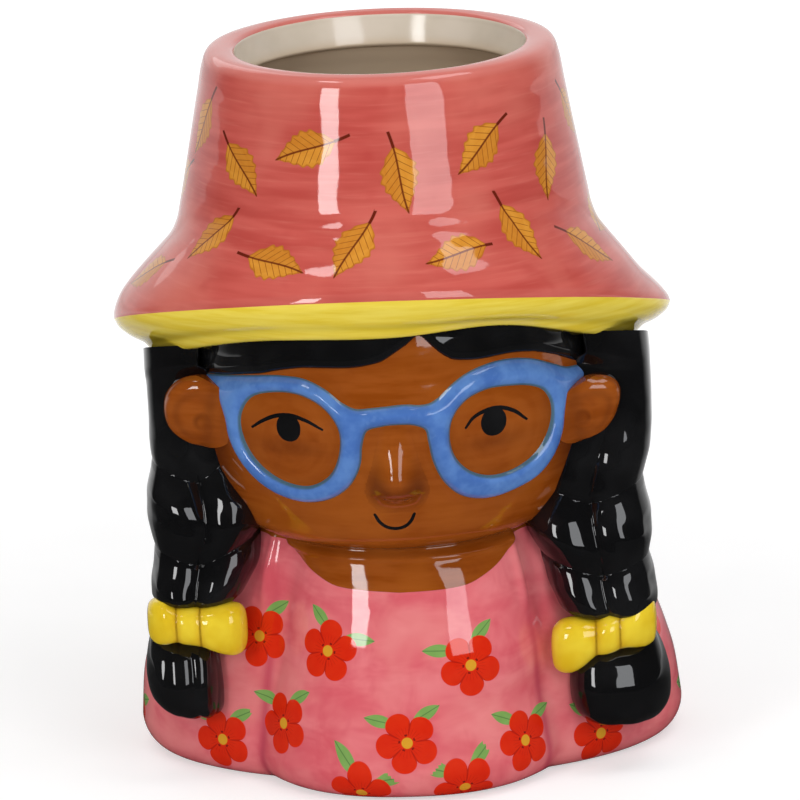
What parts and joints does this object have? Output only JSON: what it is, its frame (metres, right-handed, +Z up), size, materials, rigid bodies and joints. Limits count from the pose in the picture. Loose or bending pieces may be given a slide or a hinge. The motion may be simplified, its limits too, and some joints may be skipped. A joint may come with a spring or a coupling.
{
  "type": "face flower pot",
  "caption": "Glazed earthenware flower pot in the shape of a girl's head and shoulders under a bucket hat, open at the crown, with round glasses and braids tied with bows.",
  "frame": {"origin": "middle of the foot ring's plane, straight below the middle of the mouth", "axes": "+Z up, the face looks along -Y, +X is to the viewer's right"},
  "size_m": [0.1516, 0.1342, 0.1965],
  "materials": {
    "hat_pink": "clear gloss glaze over hand-painted slip",
    "dress_pink": "clear gloss glaze over hand-painted slip",
    "yellow": "clear gloss glaze over hand-painted slip",
    "black": "clear gloss glaze over hand-painted slip",
    "skin": "clear gloss glaze over hand-painted slip",
    "blue": "clear gloss glaze over hand-painted slip"
  },
  "bodies": {
    "root": {"hat_crown": "hat_pink", "hat_brim": "hat_pink", "brim_edge": "yellow", "hair_cap": "black", "head_shell": "skin", "neck_ring": "skin", "dress_shell": "dress_pink", "nose": "skin", "glasses_bridge": "blue", "smile": "black", "left_ear": "skin", "left_lens_rim": "blue", "left_temple": "blue", "left_pupil": "black", "left_lash_line": "black", "left_braid": "black", "left_braid_tail": "black", "left_bow_knot": "yellow", "left_bow_inner_loop": "yellow", "left_bow_outer_loop": "yellow", "right_ear": "skin", "right_lens_rim": "blue", "right_temple": "blue", "right_pupil": "black", "right_lash_line": "black", "right_braid": "black", "right_braid_tail": "black", "right_bow_knot": "yellow", "right_bow_inner_loop": "yellow", "right_bow_outer_loop": "yellow"}
  },
  "joints": []
}
